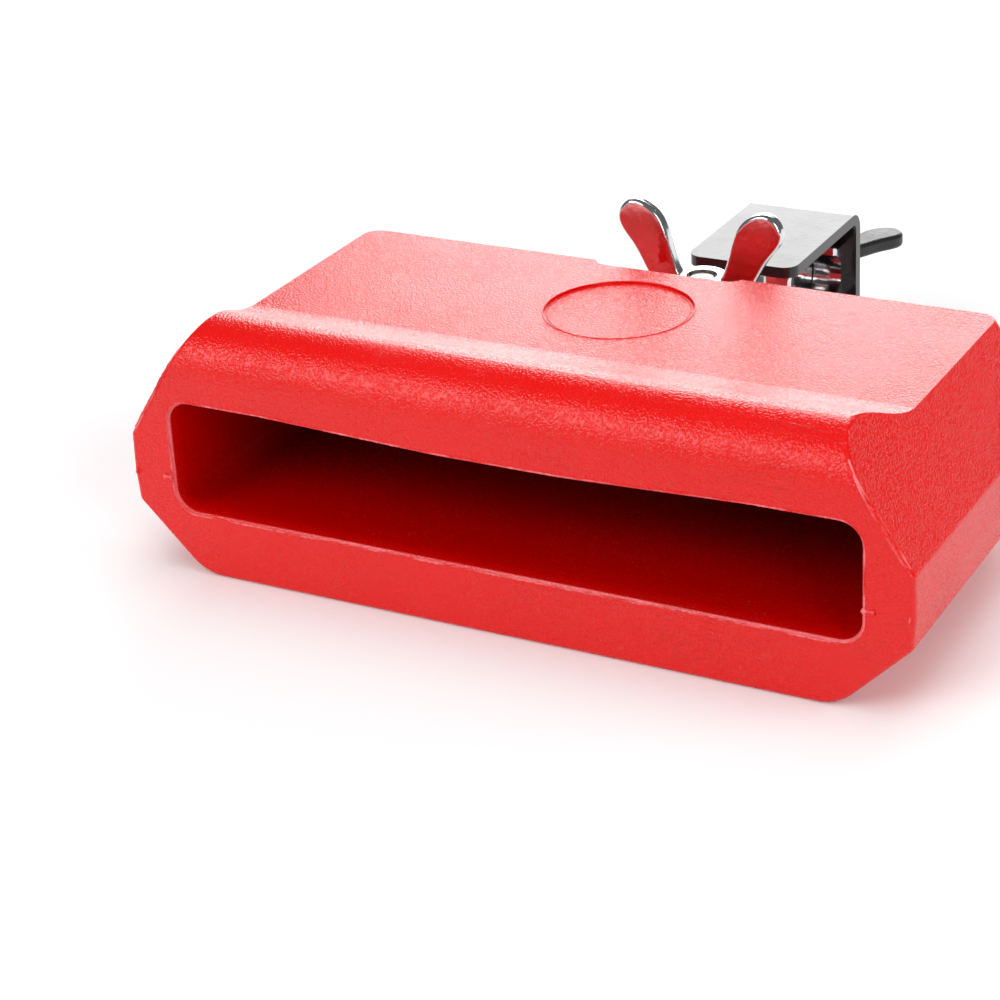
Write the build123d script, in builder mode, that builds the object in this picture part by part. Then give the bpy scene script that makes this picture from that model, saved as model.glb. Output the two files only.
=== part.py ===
from build123d import *
import os

# A moulded percussion block: a thick plastic resonator with a wide slot mouth, a rear neck,
# and a steel clamp bracket that swivels on the neck and grips a round mounting rod.
# Millimetres. The origin is the centre of the block's flat underside, its mouth faces -Y,
# and X runs across the mouth.

# ---- resonator block ----
half_width = 100.0          # at the parting plane
parting_z = 25.0            # height of the mould parting plane
panel_z = 56.2              # flat top panel
crest_z = 63.5              # top of the rounded front rim
front_y = -47.0             # plane of the mouth
body_depth = 94.0
back_y = front_y + body_depth
roll_radius = 12.0          # the rim rolls back from the mouth plane to its crest
slope_length = 25.0         # from the crest down to the panel
panel_front_y = front_y + roll_radius + slope_length
lower_chamfer = 17.2        # 45 degree flats along the bottom sides
lower_shoulder_z = 17.2
upper_shoulder_z = 34.8
draft_low = 0.6             # how much each side leans in below the parting plane
draft_high = 0.3            # and above it, up to the upper shoulder
crest_half_width = 81.0
edge_round = 1.2            # around the rim of the mouth face
side_round = 1.6            # along the long edges of the body
bottom_round = 12.0         # where the bottom flats meet the underside
rear_round = 4.0
rear_inner_round = 4.0      # around the closed end of the cavity
neck_round = 1.5

# ---- mouth and cavity ----
mouth_half_width = 88.0
mouth_floor_z = 16.5
mouth_roof_z = 45.0         # near the ends
roof_drop = 1.7             # the roof is lower across the middle
roof_drop_half = 16.0
roof_ramp_half = 62.0
mouth_corner = 5.5
mouth_chamfer = 0.6
cavity_depth = 83.0
cavity_draft = 1.0          # degrees

# ---- panel recess and rear edge relief ----
recess_y = 19.0
recess_radius = 18.2
recess_depth = 0.5
relief_half_width = 20.0
relief_depth = 2.4
relief_height = 14.0
relief_overlap = 1.0

# ---- neck at the rear, where the bracket swivels ----
swivel_y = back_y + 20.0
neck_radius = 19.0
neck_low = 15.0
neck_top = 36.0
neck_reach = 24.0           # from the swivel forward into the body
sleeve_outer = 6.5
sleeve_bore = 4.3

# ---- swivel hardware ----
stud_radius = 3.95
thread_gap = 0.05
pad_thickness = 1.5
pad_radius = 15.0
pad_bore = 7.0
head_radius = 9.0
head_height = 4.0
dome_radius = (head_radius**2 + head_height**2) / (2 * head_height)
square_neck = 8.1
square_slack = 0.2          # between the bolt's square neck and the strap's square hole
neck_washer_radius = 12.0
captive_radius = 9.6
washer_bevel = 0.4
thread_lead_in = 0.6        # bevel at the end of each thread
washer_thickness = 1.6
captive_thickness = 1.4
nut_base_z = neck_top + washer_thickness + captive_thickness
stud_top_z = 47.0

# ---- wing nuts, at full size ----
nut_foot = 8.0
nut_collar = 1.8
nut_waist = 6.4
nut_height = 8.5
wing_root = 7.0             # where a wing's outer edge leaves the nut
wing_reach = 22.6
wing_rise = 26.8
wing_rib = 7.0              # top of the rib that joins a wing to the nut
wing_base = 1.2
swivel_nut_size = 1.0
swivel_wing_thickness = 3.6
clamp_nut_size = 0.86
clamp_wing_thickness = 4.0
wing_edge_share = 0.28      # rounding of a wing's edge as a share of its thickness

# ---- bracket ----
sheet = 3.0
strap_half = 15.3
leg_top_z = neck_low - pad_thickness
leg_low_z = leg_top_z - sheet
tongue_top_z = 42.5
tongue_front_y = swivel_y + 23.5
bracket_back_y = tongue_front_y + 48.0
bend = 5.0                  # outside radius of the bends
clamp_z = 26.5              # height of the rod and of the eye bolt

# ---- rod clamp ----
rod_y = bracket_back_y - 13.8
eye_bore = 6.6
eye_outer = 10.0
eye_half_width = 4.0
eye_slot_half = 4.4
eye_shank = 2.95
clamp_washer = 1.2
clamp_spring = 1.5
clamp_base_y = bracket_back_y + clamp_washer + clamp_spring
shank_end_y = clamp_base_y + 16.0

clamp_washer_radius = 5.9
saddle_groove = 6.8
saddle_outer = 9.2
saddle_foot = 15.0
saddle_lip = 0.8            # how far behind the rod's centre the saddles stop
saddle_half = 12.5
screw_x = 8.6
screw_radius = 1.5
screw_bite = 3.2
screw_head = 2.5
screw_head_height = 1.7
screw_recess = (3.0, 0.7, 1.0)  # length, width and depth of the cross recess
hole_slack = 0.35           # around the eye bolt's shank
screw_slack = 0.15
shank_sink = 1.2            # how far the shank starts inside the eye
spring_radius = 5.2
spring_cut = 0.9            # width of the slit in the spring washer
tongue_corner = 4.0

os.makedirs("parts", exist_ok=True)


def save(builder, name):
    """Label a finished piece and write its STEP file."""
    builder.part.label = name
    export_step(builder.part, f"parts/{name}.step")


def octagon(top_z, top_half):
    """Outline of the body seen from the front, sides widest at the parting plane."""
    with BuildSketch() as outline:
        with BuildLine():
            Polyline(
                (0, 0),
                (half_width - draft_low - lower_chamfer, 0),
                (half_width - draft_low, lower_shoulder_z),
                (half_width, parting_z),
                (half_width - draft_high, upper_shoulder_z),
                (top_half, top_z),
                (0, top_z),
            )
            mirror(about=Plane.YZ)
        make_face()
        low_corners = outline.vertices().group_by(Axis.Y)[0]
        fillet(low_corners.filter_by(lambda spot: abs(spot.X) > 1), bottom_round)
        corners = outline.vertices().filter_by(lambda spot: abs(spot.X) > 1)
        fillet(corners.filter_by(lambda spot: spot.Y > lower_shoulder_z / 2), side_round)
    return outline.sketch


def mouth_outline():
    """Outline of the mouth: a long slot whose roof is a little lower across the middle."""
    with BuildSketch() as outline:
        with BuildLine():
            Polyline(
                (0, mouth_floor_z),
                (mouth_half_width, mouth_floor_z),
                (mouth_half_width, mouth_roof_z),
                (roof_ramp_half, mouth_roof_z),
                (roof_drop_half, mouth_roof_z - roof_drop),
                (0, mouth_roof_z - roof_drop),
            )
            mirror(about=Plane.YZ)
        make_face()
        fillet(outline.vertices().filter_by(lambda spot: abs(spot.X) > roof_ramp_half + 1), mouth_corner)
    return outline.sketch


def side_profile():
    """Outline of the body seen from the side: rounded rim, sloping back, flat panel."""
    roll_start = (front_y, crest_z - roll_radius)
    crest = (front_y + roll_radius, crest_z)
    with BuildSketch() as outline:
        with BuildLine():
            Line((front_y, -1), roll_start)
            RadiusArc(roll_start, crest, roll_radius)
            Spline(
                crest,
                (panel_front_y, panel_z),
                tangents=[(1, 0), (1, -0.08)],
                tangent_scalars=[0.9, 1.1],
            )
            Polyline(
                (panel_front_y, panel_z),
                (back_y, panel_z),
                (back_y, -1),
                (front_y, -1),
            )
        make_face()
    return outline.sketch


# ---- resonator block: outer body cut to its side profile, hollowed from the mouth ----
with BuildPart() as resonator_block:
    with BuildSketch(Plane.XZ.offset(-front_y)):
        add(octagon(crest_z, crest_half_width))
    extrude(amount=-body_depth)
    rear_rim = resonator_block.edges().group_by(Axis.Y)[-1]
    fillet(rear_rim, rear_round)
    with BuildSketch(Plane.YZ):
        add(side_profile())
    extrude(amount=half_width + 5, both=True, mode=Mode.INTERSECT)
    front_rim = resonator_block.edges().filter_by(Plane.XZ).group_by(Axis.Y)[0]
    lower_rim = front_rim.filter_by(lambda edge: edge.center().Z < crest_z - roll_radius - 1)
    fillet(lower_rim, edge_round)
    with BuildSketch(Plane.XY.offset(neck_low)):
        with Locations((0, swivel_y)):
            Circle(neck_radius)
        with Locations((0, swivel_y)):
            Rectangle(2 * neck_radius, neck_reach, align=(Align.CENTER, Align.MAX))
    extrude(amount=neck_top - neck_low)
    neck_rims = resonator_block.edges().filter_by(GeomType.CIRCLE)
    neck_rims = neck_rims.filter_by(lambda edge: abs(edge.radius - neck_radius) < 0.01)
    fillet(neck_rims, neck_round)
    with BuildSketch(Plane.XZ.offset(-front_y)):
        add(mouth_outline())
    extrude(amount=-cavity_depth, taper=cavity_draft, mode=Mode.SUBTRACT)
    cavity_back = resonator_block.faces().filter_by(Axis.Y)
    cavity_back = cavity_back.filter_by(lambda face: abs(face.center().Y - front_y - cavity_depth) < 0.1)
    fillet(cavity_back.edges(), rear_inner_round)
    mouth_edges = resonator_block.edges().group_by(Axis.Y)[0]
    mouth_edges = mouth_edges.filter_by(lambda edge: abs(edge.center().X) < mouth_half_width + 0.1)
    mouth_edges = mouth_edges.filter_by(lambda edge: edge.center().Z > mouth_floor_z - 0.1)
    chamfer(mouth_edges, mouth_chamfer)
    with BuildSketch(Plane.XY.offset(panel_z)):
        with Locations((0, recess_y)):
            Circle(recess_radius)
    extrude(amount=-recess_depth, mode=Mode.SUBTRACT)
    with BuildSketch(Plane.XY.offset(panel_z - relief_height)):
        with Locations((0, back_y + relief_overlap)):
            SlotOverall(2 * relief_half_width, 2 * (relief_depth + relief_overlap))
    extrude(amount=relief_height + 1, mode=Mode.SUBTRACT)
    with Locations((0, swivel_y, neck_top)):
        Hole(sleeve_outer)
save(resonator_block, "resonator_block")


def ring(base, outer, inner, height):
    """A flat ring standing on a plane: a washer, a sleeve or a pad."""
    with BuildPart() as flat:
        with BuildSketch(base):
            Circle(outer)
            Circle(inner, mode=Mode.SUBTRACT)
        extrude(amount=height)
    return flat.part


def wing_nut(base, bore, size, thickness):
    """A cast wing nut standing on a plane, its two wings spread along the plane's x."""
    upright = Plane(base.origin, x_dir=base.x_dir, z_dir=-base.y_dir)
    spin_axis = Axis(base.origin, base.z_dir)
    with BuildPart() as nut:
        with BuildSketch(upright):
            with BuildLine():
                Line((0, wing_base), (wing_root, wing_base))
                Spline(
                    (wing_root, wing_base),
                    (2.0 * wing_root, wing_rib),
                    (wing_reach - 4.0, 15.0),
                    (wing_reach, wing_rise - 4.3),
                    (wing_reach - 3.0, wing_rise),
                    (wing_reach - 10.0, wing_rise - 1.8),
                    (nut_foot + 0.8, wing_rise - 8.8),
                    (nut_waist + 0.4, wing_rise - 15.8),
                    (nut_waist - 2.0, wing_rib),
                )
                Polyline((nut_waist - 2.0, wing_rib), (0, wing_rib), (0, wing_base))
            make_face()
            mirror(about=Plane.YZ)
            scale(by=size)
        extrude(amount=thickness / 2, both=True)
        wing_faces = nut.faces().filter_by(Axis(base.origin, base.y_dir))
        wing_edges = wing_faces.edges().filter_by(GeomType.BSPLINE)
        fillet(wing_edges, thickness * wing_edge_share)
        with BuildSketch(upright):
            with BuildLine():
                Polyline(
                    (0, 0),
                    (nut_foot, 0),
                    (nut_foot, nut_collar),
                    (nut_waist, nut_height),
                    (0, nut_height),
                    close=True,
                )
            make_face()
            scale(by=size)
        revolve(axis=spin_axis)
        with BuildSketch(base):
            Circle(bore)
        extrude(amount=nut_height * size, mode=Mode.SUBTRACT)
    return nut.part


def on_axis(y):
    """Plane across the clamp bolt at a given y, facing the rear."""
    return Plane((0, y, clamp_z), x_dir=(1, 0, 0), z_dir=(0, 1, 0))


# ---- neck sleeve: steel tube that takes the squeeze of the swivel bolt ----
with BuildPart() as neck_sleeve:
    add(ring(Plane((0, swivel_y, neck_low)), sleeve_outer, sleeve_bore, neck_top - neck_low))
save(neck_sleeve, "neck_sleeve")

# ---- friction pad between the neck and the bracket ----
with BuildPart() as friction_pad:
    add(ring(Plane((0, swivel_y, leg_top_z)), pad_radius, pad_bore, pad_thickness))
save(friction_pad, "friction_pad")

# ---- washers under the swivel nut ----
with BuildPart() as neck_washer:
    add(ring(Plane((0, swivel_y, neck_top)), neck_washer_radius, sleeve_bore, washer_thickness))
    chamfer(neck_washer.edges().group_by(Axis.Z)[-1].sort_by(SortBy.LENGTH)[-1], washer_bevel)
save(neck_washer, "neck_washer")

with BuildPart() as captive_washer:
    add(ring(Plane((0, swivel_y, neck_top + washer_thickness)), captive_radius, sleeve_bore, captive_thickness))
    chamfer(captive_washer.edges().group_by(Axis.Z)[0].sort_by(SortBy.LENGTH)[-1], washer_bevel)
save(captive_washer, "captive_washer")

# ---- carriage bolt: domed head below the bracket, square neck, plain length for the thread ----
with BuildPart() as carriage_bolt:
    with BuildSketch(Plane.YZ):
        with BuildLine():
            Line((swivel_y, leg_low_z - head_height), (swivel_y, leg_low_z))
            Line((swivel_y, leg_low_z), (swivel_y + head_radius, leg_low_z))
            RadiusArc(
                (swivel_y + head_radius, leg_low_z),
                (swivel_y, leg_low_z - head_height),
                dome_radius,
            )
        make_face()
    revolve(axis=Axis((0, swivel_y, 0), (0, 0, 1)))
    with BuildSketch(Plane((0, swivel_y, leg_low_z))):
        Rectangle(square_neck, square_neck)
    extrude(amount=sheet)
    with BuildSketch(Plane((0, swivel_y, leg_low_z))):
        Circle(stud_radius)
    extrude(amount=stud_top_z - leg_low_z)
    chamfer(carriage_bolt.edges().group_by(Axis.Z)[-1], thread_lead_in)
save(carriage_bolt, "carriage_bolt")

# ---- swivel wing nut ----
with BuildPart() as swivel_wing_nut:
    add(wing_nut(Plane((0, swivel_y, nut_base_z)), stud_radius + thread_gap, swivel_nut_size, swivel_wing_thickness))
save(swivel_wing_nut, "swivel_wing_nut")

# ---- clamp bracket: one bent strap, open towards the block ----
with BuildPart() as clamp_bracket:
    with BuildSketch(Plane.YZ):
        with BuildLine():
            FilletPolyline(
                (tongue_front_y, leg_low_z),
                (bracket_back_y, leg_low_z),
                (bracket_back_y, tongue_top_z),
                (tongue_front_y, tongue_top_z),
                radius=bend,
            )
            Line((tongue_front_y, tongue_top_z), (tongue_front_y, tongue_top_z - sheet))
            FilletPolyline(
                (tongue_front_y, tongue_top_z - sheet),
                (bracket_back_y - sheet, tongue_top_z - sheet),
                (bracket_back_y - sheet, leg_top_z),
                (tongue_front_y, leg_top_z),
                radius=bend - sheet,
            )
            Line((tongue_front_y, leg_top_z), (tongue_front_y, leg_low_z))
        make_face()
    extrude(amount=strap_half, both=True)
    tongue_corners = clamp_bracket.edges().filter_by(Axis.Z).group_by(Axis.Z)[-1]
    fillet(tongue_corners.group_by(Axis.Y)[0], tongue_corner)
    with BuildSketch(Plane.XY.offset(leg_low_z)):
        with Locations((0, swivel_y)):
            Circle(strap_half)
        with Locations((0, swivel_y)):
            Rectangle(
                2 * strap_half,
                tongue_front_y - swivel_y + 1,
                align=(Align.CENTER, Align.MIN),
            )
    extrude(amount=sheet)
    with BuildSketch(Plane((0, swivel_y, leg_low_z))):
        Rectangle(square_neck + square_slack, square_neck + square_slack)
    extrude(amount=sheet, mode=Mode.SUBTRACT)
    with BuildSketch(on_axis(bracket_back_y - sheet)):
        Circle(eye_shank + hole_slack)
        with Locations((-screw_x, 0), (screw_x, 0)):
            Circle(screw_radius + screw_slack)
    extrude(amount=sheet, mode=Mode.SUBTRACT)
save(clamp_bracket, "clamp_bracket")

# ---- rod saddles: two half-round rests, one each side of the eye ----
with BuildPart() as rod_saddles:
    with BuildSketch(Plane.YZ):
        with Locations((rod_y, clamp_z)):
            Circle(saddle_outer)
        with Locations((bracket_back_y - sheet, clamp_z)):
            Rectangle(
                bracket_back_y - sheet - rod_y,
                saddle_foot,
                align=(Align.MAX, Align.CENTER),
            )
        with Locations((rod_y + saddle_lip, clamp_z)):
            Rectangle(30, 30, align=(Align.MAX, Align.CENTER), mode=Mode.SUBTRACT)
        with Locations((rod_y, clamp_z)):
            Circle(saddle_groove, mode=Mode.SUBTRACT)
    extrude(amount=saddle_half, both=True)
    with Locations((0, rod_y, clamp_z)):
        Box(2 * eye_slot_half, 40, 40, mode=Mode.SUBTRACT)
    saddle_ends = rod_saddles.faces().filter_by(Axis.X)
    fillet(saddle_ends.edges().filter_by(GeomType.CIRCLE).group_by(SortBy.RADIUS)[-1], 0.8)
    with BuildSketch(on_axis(bracket_back_y - sheet)):
        with Locations((-screw_x, 0), (screw_x, 0)):
            Circle(screw_radius)
    extrude(amount=-screw_bite, mode=Mode.SUBTRACT)
save(rod_saddles, "rod_saddles")

# ---- saddle screws, from behind the bracket ----
with BuildPart() as saddle_screws:
    with BuildSketch(on_axis(bracket_back_y - sheet - screw_bite)):
        with Locations((-screw_x, 0), (screw_x, 0)):
            Circle(screw_radius)
    extrude(amount=screw_bite + sheet)
    with BuildSketch(on_axis(bracket_back_y)):
        with Locations((-screw_x, 0), (screw_x, 0)):
            Circle(screw_head)
    extrude(amount=screw_head_height)
    head_rims = saddle_screws.edges().group_by(Axis.Y)[-1]
    fillet(head_rims, 0.4 * screw_head_height)
    with BuildSketch(on_axis(bracket_back_y + screw_head_height)):
        with Locations((-screw_x, 0), (screw_x, 0)):
            Rectangle(screw_recess[0], screw_recess[1])
            Rectangle(screw_recess[1], screw_recess[0])
    extrude(amount=-screw_recess[2], mode=Mode.SUBTRACT)
save(saddle_screws, "saddle_screws")

# ---- eye bolt: forged ring around the rod, shank through the bracket's back ----
with BuildPart() as eye_bolt:
    with BuildSketch(Plane.YZ):
        with Locations((rod_y, clamp_z)):
            Circle(eye_outer)
            Circle(eye_bore, mode=Mode.SUBTRACT)
    extrude(amount=eye_half_width, both=True)
    rims = eye_bolt.edges().filter_by(GeomType.CIRCLE)
    fillet(rims.filter_by(lambda edge: abs(edge.radius - eye_outer) < 0.01), 1.5)
    with BuildSketch(on_axis(rod_y + eye_bore + shank_sink)):
        Circle(eye_shank)
    extrude(amount=shank_end_y - rod_y - eye_bore - shank_sink)
    chamfer(eye_bolt.edges().group_by(Axis.Y)[-1], thread_lead_in)
save(eye_bolt, "eye_bolt")

# ---- washer, spring washer and wing nut behind the bracket ----
with BuildPart() as clamp_washer_ring:
    add(ring(on_axis(bracket_back_y), clamp_washer_radius, eye_shank + hole_slack, clamp_washer))
save(clamp_washer_ring, "clamp_washer")

with BuildPart() as spring_washer:
    add(ring(on_axis(bracket_back_y + clamp_washer), spring_radius, eye_shank + hole_slack, clamp_spring))
    with BuildSketch(on_axis(bracket_back_y + clamp_washer)):
        with Locations(Location((0, spring_radius - spring_cut), 20)):
            Rectangle(spring_cut, 4.0)
    extrude(amount=clamp_spring, mode=Mode.SUBTRACT)
save(spring_washer, "spring_washer")

with BuildPart() as clamp_wing_nut:
    add(wing_nut(on_axis(clamp_base_y), eye_shank + thread_gap, clamp_nut_size, clamp_wing_thickness))
save(clamp_wing_nut, "clamp_wing_nut")
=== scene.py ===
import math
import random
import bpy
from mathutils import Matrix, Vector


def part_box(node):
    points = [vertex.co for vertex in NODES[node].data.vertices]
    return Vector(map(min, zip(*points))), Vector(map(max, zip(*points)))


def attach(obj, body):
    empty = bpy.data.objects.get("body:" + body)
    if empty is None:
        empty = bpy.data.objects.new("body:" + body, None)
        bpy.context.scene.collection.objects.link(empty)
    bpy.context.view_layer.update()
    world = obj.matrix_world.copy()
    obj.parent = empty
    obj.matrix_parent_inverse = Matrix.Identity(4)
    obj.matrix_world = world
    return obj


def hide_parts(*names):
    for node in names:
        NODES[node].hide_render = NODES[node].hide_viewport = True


bl_info = {
    "name": "Moulded percussion block",
    "version": (1, 0, 0),
    "blender": (4, 5, 0),
    "location": "3D View > Sidebar > Block",
    "description": "Finishes, flash lines, threads and studio for a moulded percussion block",
    "category": "Object",
}

import bpy
from bpy.props import FloatProperty, FloatVectorProperty, IntProperty, PointerProperty
from bpy.types import Operator, Panel, PropertyGroup
from mathutils import Euler, Matrix, Vector

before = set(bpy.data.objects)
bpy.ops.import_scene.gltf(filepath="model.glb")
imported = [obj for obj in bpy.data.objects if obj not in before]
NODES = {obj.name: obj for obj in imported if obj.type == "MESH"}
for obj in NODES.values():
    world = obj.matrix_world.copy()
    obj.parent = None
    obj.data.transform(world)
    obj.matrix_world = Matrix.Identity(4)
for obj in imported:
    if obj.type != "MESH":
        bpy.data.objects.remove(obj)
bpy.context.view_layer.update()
BLOCK_LO, BLOCK_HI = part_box("resonator_block")
FRONT_Y = BLOCK_LO.y
NUT_LO, NUT_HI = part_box("swivel_wing_nut")
SWIVEL_Y = (NUT_LO.y + NUT_HI.y) / 2
EYE_LO, EYE_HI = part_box("eye_bolt")
CLAMP_Z = (EYE_LO.z + EYE_HI.z) / 2
BRACKET_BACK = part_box("clamp_bracket")[1].y
PAD_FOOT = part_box("friction_pad")[0].z
BOLT_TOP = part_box("carriage_bolt")[1].z


# ------------------------------------------------------------------ sizes and colours


class BlockSettings(PropertyGroup):
    plastic_colour: FloatVectorProperty(
        name="Plastic",
        description="Colour of the moulded plastic",
        subtype="COLOR",
        size=3,
        min=0,
        max=1,
        default=(0.72, 0.003, 0.002),
    )
    # Painted shade: a darker red laid on the plastic inside the mouth, standing in for the shade in the
    # cavity.
    cavity_shade_colour: FloatVectorProperty(
        name="Cavity",
        description="Colour of the plastic inside the mouth",
        subtype="COLOR",
        size=3,
        min=0,
        max=1,
        default=(0.55, 0.0, 0.0),
    )
    # Real scuffs and stressed plastic, and also the pale end of the flash material, which on the crease
    # ridges is a painted highlight.
    scuff_and_crease_highlight_colour: FloatVectorProperty(
        name="Scuffs",
        description="Colour of rubbed and stressed plastic",
        subtype="COLOR",
        size=3,
        min=0,
        max=1,
        default=(0.86, 0.16, 0.17),
    )
    # Painted shadow: the darkest red, laid on the back of the cavity where its shade is deepest.
    shadow_colour: FloatVectorProperty(
        name="Deep cavity",
        description="Colour of the plastic at the back of the cavity",
        subtype="COLOR",
        size=3,
        min=0,
        max=1,
        default=(0.22, 0.0, 0.0),
    )
    grain_size: FloatProperty(
        name="Grain size",
        description="Width of one pebble of the moulded grain",
        default=0.0006,
        min=0.0002,
        max=0.003,
        unit="LENGTH",
        precision=5,
    )
    grain_depth: FloatProperty(
        name="Grain depth",
        description="Depth of the moulded grain",
        default=0.00008,
        min=0,
        max=0.001,
        unit="LENGTH",
        precision=6,
    )
    parting_z: FloatProperty(
        name="Parting height",
        description="Height of the mould's parting plane above the underside",
        default=0.025,
        min=0.001,
        max=0.06,
        unit="LENGTH",
    )
    mouth_half: FloatProperty(
        name="Mouth half width",
        description="Half the width of the mouth",
        default=0.088,
        min=0.01,
        max=0.1,
        unit="LENGTH",
    )
    mouth_low: FloatProperty(
        name="Mouth floor",
        description="Height of the mouth's floor",
        default=0.0165,
        min=0.001,
        max=0.06,
        unit="LENGTH",
    )
    mouth_high: FloatProperty(
        name="Mouth roof",
        description="Height of the mouth's roof at its ends",
        default=0.045,
        min=0.001,
        max=0.06,
        unit="LENGTH",
    )
    mouth_bevel: FloatProperty(
        name="Mouth bevel",
        description="Width of the bevel around the mouth",
        default=0.0006,
        min=0,
        max=0.003,
        unit="LENGTH",
        precision=5,
    )
    cavity_depth: FloatProperty(
        name="Cavity depth",
        description="Depth of the cavity behind the mouth",
        default=0.083,
        min=0.01,
        max=0.1,
        unit="LENGTH",
    )
    flash_height: FloatProperty(
        name="Flash height",
        description="Thickness of the parting flash",
        default=0.00034,
        min=0,
        max=0.001,
        unit="LENGTH",
        precision=5,
    )
    flash_width: FloatProperty(
        name="Mouth flash",
        description="Thickness of the flash bead around the mouth",
        default=0.00036,
        min=0,
        max=0.002,
        unit="LENGTH",
        precision=5,
    )


    crease_top: FloatVectorProperty(
        name="Crease top",
        description="X and Z of the upper side flat's top edge",
        subtype="XYZ",
        unit="LENGTH",
        size=2,
        default=(0.0810, 0.0635),
        precision=5,
    )
    crease_foot: FloatVectorProperty(
        name="Crease foot",
        description="X and Z of the upper side flat's bottom edge",
        subtype="XYZ",
        unit="LENGTH",
        size=2,
        default=(0.0997, 0.0348),
        precision=5,
    )
    crease_end: FloatProperty(
        name="Crease end",
        description="Height at which the ridges stop",
        default=0.0365,
        min=0.01,
        max=0.06,
        unit="LENGTH",
        precision=5,
    )
    crease_width: FloatProperty(
        name="Crease ridge",
        description="Radius of one ridge along the crease",
        default=0.00026,
        min=0.00005,
        max=0.001,
        unit="LENGTH",
        precision=5,
    )
    lip_roll: FloatProperty(
        name="Lip roll",
        description="Radius of the roll at the top of the mouth face",
        default=0.012,
        min=0.001,
        max=0.03,
        unit="LENGTH",
    )
    recess_y: FloatProperty(
        name="Recess place",
        description="Where the round recess's centre is, along Y",
        default=0.019,
        unit="LENGTH",
    )
    panel_z: FloatProperty(
        name="Panel height",
        description="Height of the panel around the recess",
        default=0.0562,
        unit="LENGTH",
        precision=5,
    )
    recess_radius: FloatProperty(
        name="Recess radius",
        description="Radius of the round recess",
        default=0.0182,
        min=0.002,
        unit="LENGTH",
        precision=5,
    )
    recess_depth: FloatProperty(
        name="Recess depth",
        description="Depth of the round recess",
        default=0.0005,
        min=0.0001,
        unit="LENGTH",
        precision=5,
    )


class HardwareSettings(PropertyGroup):
    chrome_colour: FloatVectorProperty(
        name="Chrome",
        description="Colour of the chrome plate",
        subtype="COLOR",
        size=3,
        min=0,
        max=1,
        default=(0.78, 0.79, 0.80),
    )
    zinc_colour: FloatVectorProperty(
        name="Zinc",
        description="Colour of the zinc plate",
        subtype="COLOR",
        size=3,
        min=0,
        max=1,
        default=(0.60, 0.61, 0.61),
    )
    black_colour: FloatVectorProperty(
        name="Black coat",
        description="Colour of the black coating",
        subtype="COLOR",
        size=3,
        min=0,
        max=1,
        default=(0.012, 0.012, 0.013),
    )
    pad_colour: FloatVectorProperty(
        name="Pad",
        description="Colour of the rubber pad",
        subtype="COLOR",
        size=3,
        min=0,
        max=1,
        default=(0.02, 0.02, 0.021),
    )
    swivel_pitch: FloatProperty(
        name="Swivel pitch",
        description="Pitch of the swivel bolt's thread",
        default=0.00125,
        min=0.0005,
        max=0.003,
        unit="LENGTH",
        precision=5,
    )
    clamp_pitch: FloatProperty(
        name="Clamp pitch",
        description="Pitch of the eye bolt's thread",
        default=0.001,
        min=0.0005,
        max=0.003,
        unit="LENGTH",
        precision=5,
    )
    swivel_root: FloatProperty(
        name="Swivel root",
        description="Root radius of the swivel bolt's thread",
        default=0.0032,
        unit="LENGTH",
        precision=5,
    )
    swivel_crest: FloatProperty(
        name="Swivel crest",
        description="Crest radius of the swivel bolt's thread",
        default=0.00394,
        unit="LENGTH",
        precision=5,
    )
    clamp_root: FloatProperty(
        name="Clamp root",
        description="Root radius of the eye bolt's thread",
        default=0.0024,
        unit="LENGTH",
        precision=5,
    )
    clamp_crest: FloatProperty(
        name="Clamp crest",
        description="Crest radius of the eye bolt's thread",
        default=0.00294,
        unit="LENGTH",
        precision=5,
    )
    thread_steps: IntProperty(
        name="Thread steps", description="Facets in one turn of a thread", default=40, min=12, max=96
    )


class StageSettings(PropertyGroup):
    camera_place: FloatVectorProperty(
        name="Camera place",
        description="Where the camera stands",
        subtype="TRANSLATION",
        unit="LENGTH",
        size=3,
        default=(0.2709, -0.5207, 0.2991),
    )
    camera_turn: FloatProperty(
        name="Heading",
        description="Camera heading to the left of +Y",
        default=math.radians(29.62),
        subtype="ANGLE",
    )
    camera_tilt: FloatProperty(
        name="Tilt", description="Camera tilt below the horizon", default=math.radians(25.83), subtype="ANGLE"
    )
    camera_roll: FloatProperty(
        name="Roll", description="Camera roll", default=math.radians(3.39), subtype="ANGLE"
    )
    camera_lens: FloatProperty(
        name="Lens", description="Focal length", default=97.06, min=20, max=300, unit="CAMERA"
    )
    floor_colour: FloatVectorProperty(
        name="Floor",
        description="Colour of the floor",
        subtype="COLOR",
        size=3,
        min=0,
        max=1,
        default=(0.90, 0.90, 0.905),
    )
    world_colour: FloatVectorProperty(
        name="Room",
        description="Light that comes from the room all round",
        subtype="COLOR",
        size=3,
        min=0,
        max=1,
        default=(0.15, 0.15, 0.152),
    )
    side_power: FloatProperty(
        name="Side", description="Power of the softbox on the right", default=7.5, min=0, max=500
    )
    fill_power: FloatProperty(
        name="Right fill", description="Power of the soft fill on the right", default=10.0, min=0, max=500
    )
    key_power: FloatProperty(name="Key", description="Power of the key softbox", default=13.5, min=0, max=500)
    back_power: FloatProperty(
        name="Back", description="Power of the backdrop light", default=19.5, min=0, max=500
    )
    top_power: FloatProperty(
        name="Top", description="Power of the overhead fill", default=20.0, min=0, max=500
    )


# ------------------------------------------------------------------ shader helpers


def new_group(name, inputs, outputs):
    """A shader node group with named sockets, and its input and output nodes."""
    group = bpy.data.node_groups.new(name, "ShaderNodeTree")
    for label, kind, value in inputs:
        socket = group.interface.new_socket(name=label, in_out="INPUT", socket_type=kind)
        if value is not None:
            socket.default_value = value
    for label, kind in outputs:
        group.interface.new_socket(name=label, in_out="OUTPUT", socket_type=kind)
    entry = group.nodes.new("NodeGroupInput")
    leave = group.nodes.new("NodeGroupOutput")
    return group, entry, leave


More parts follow.
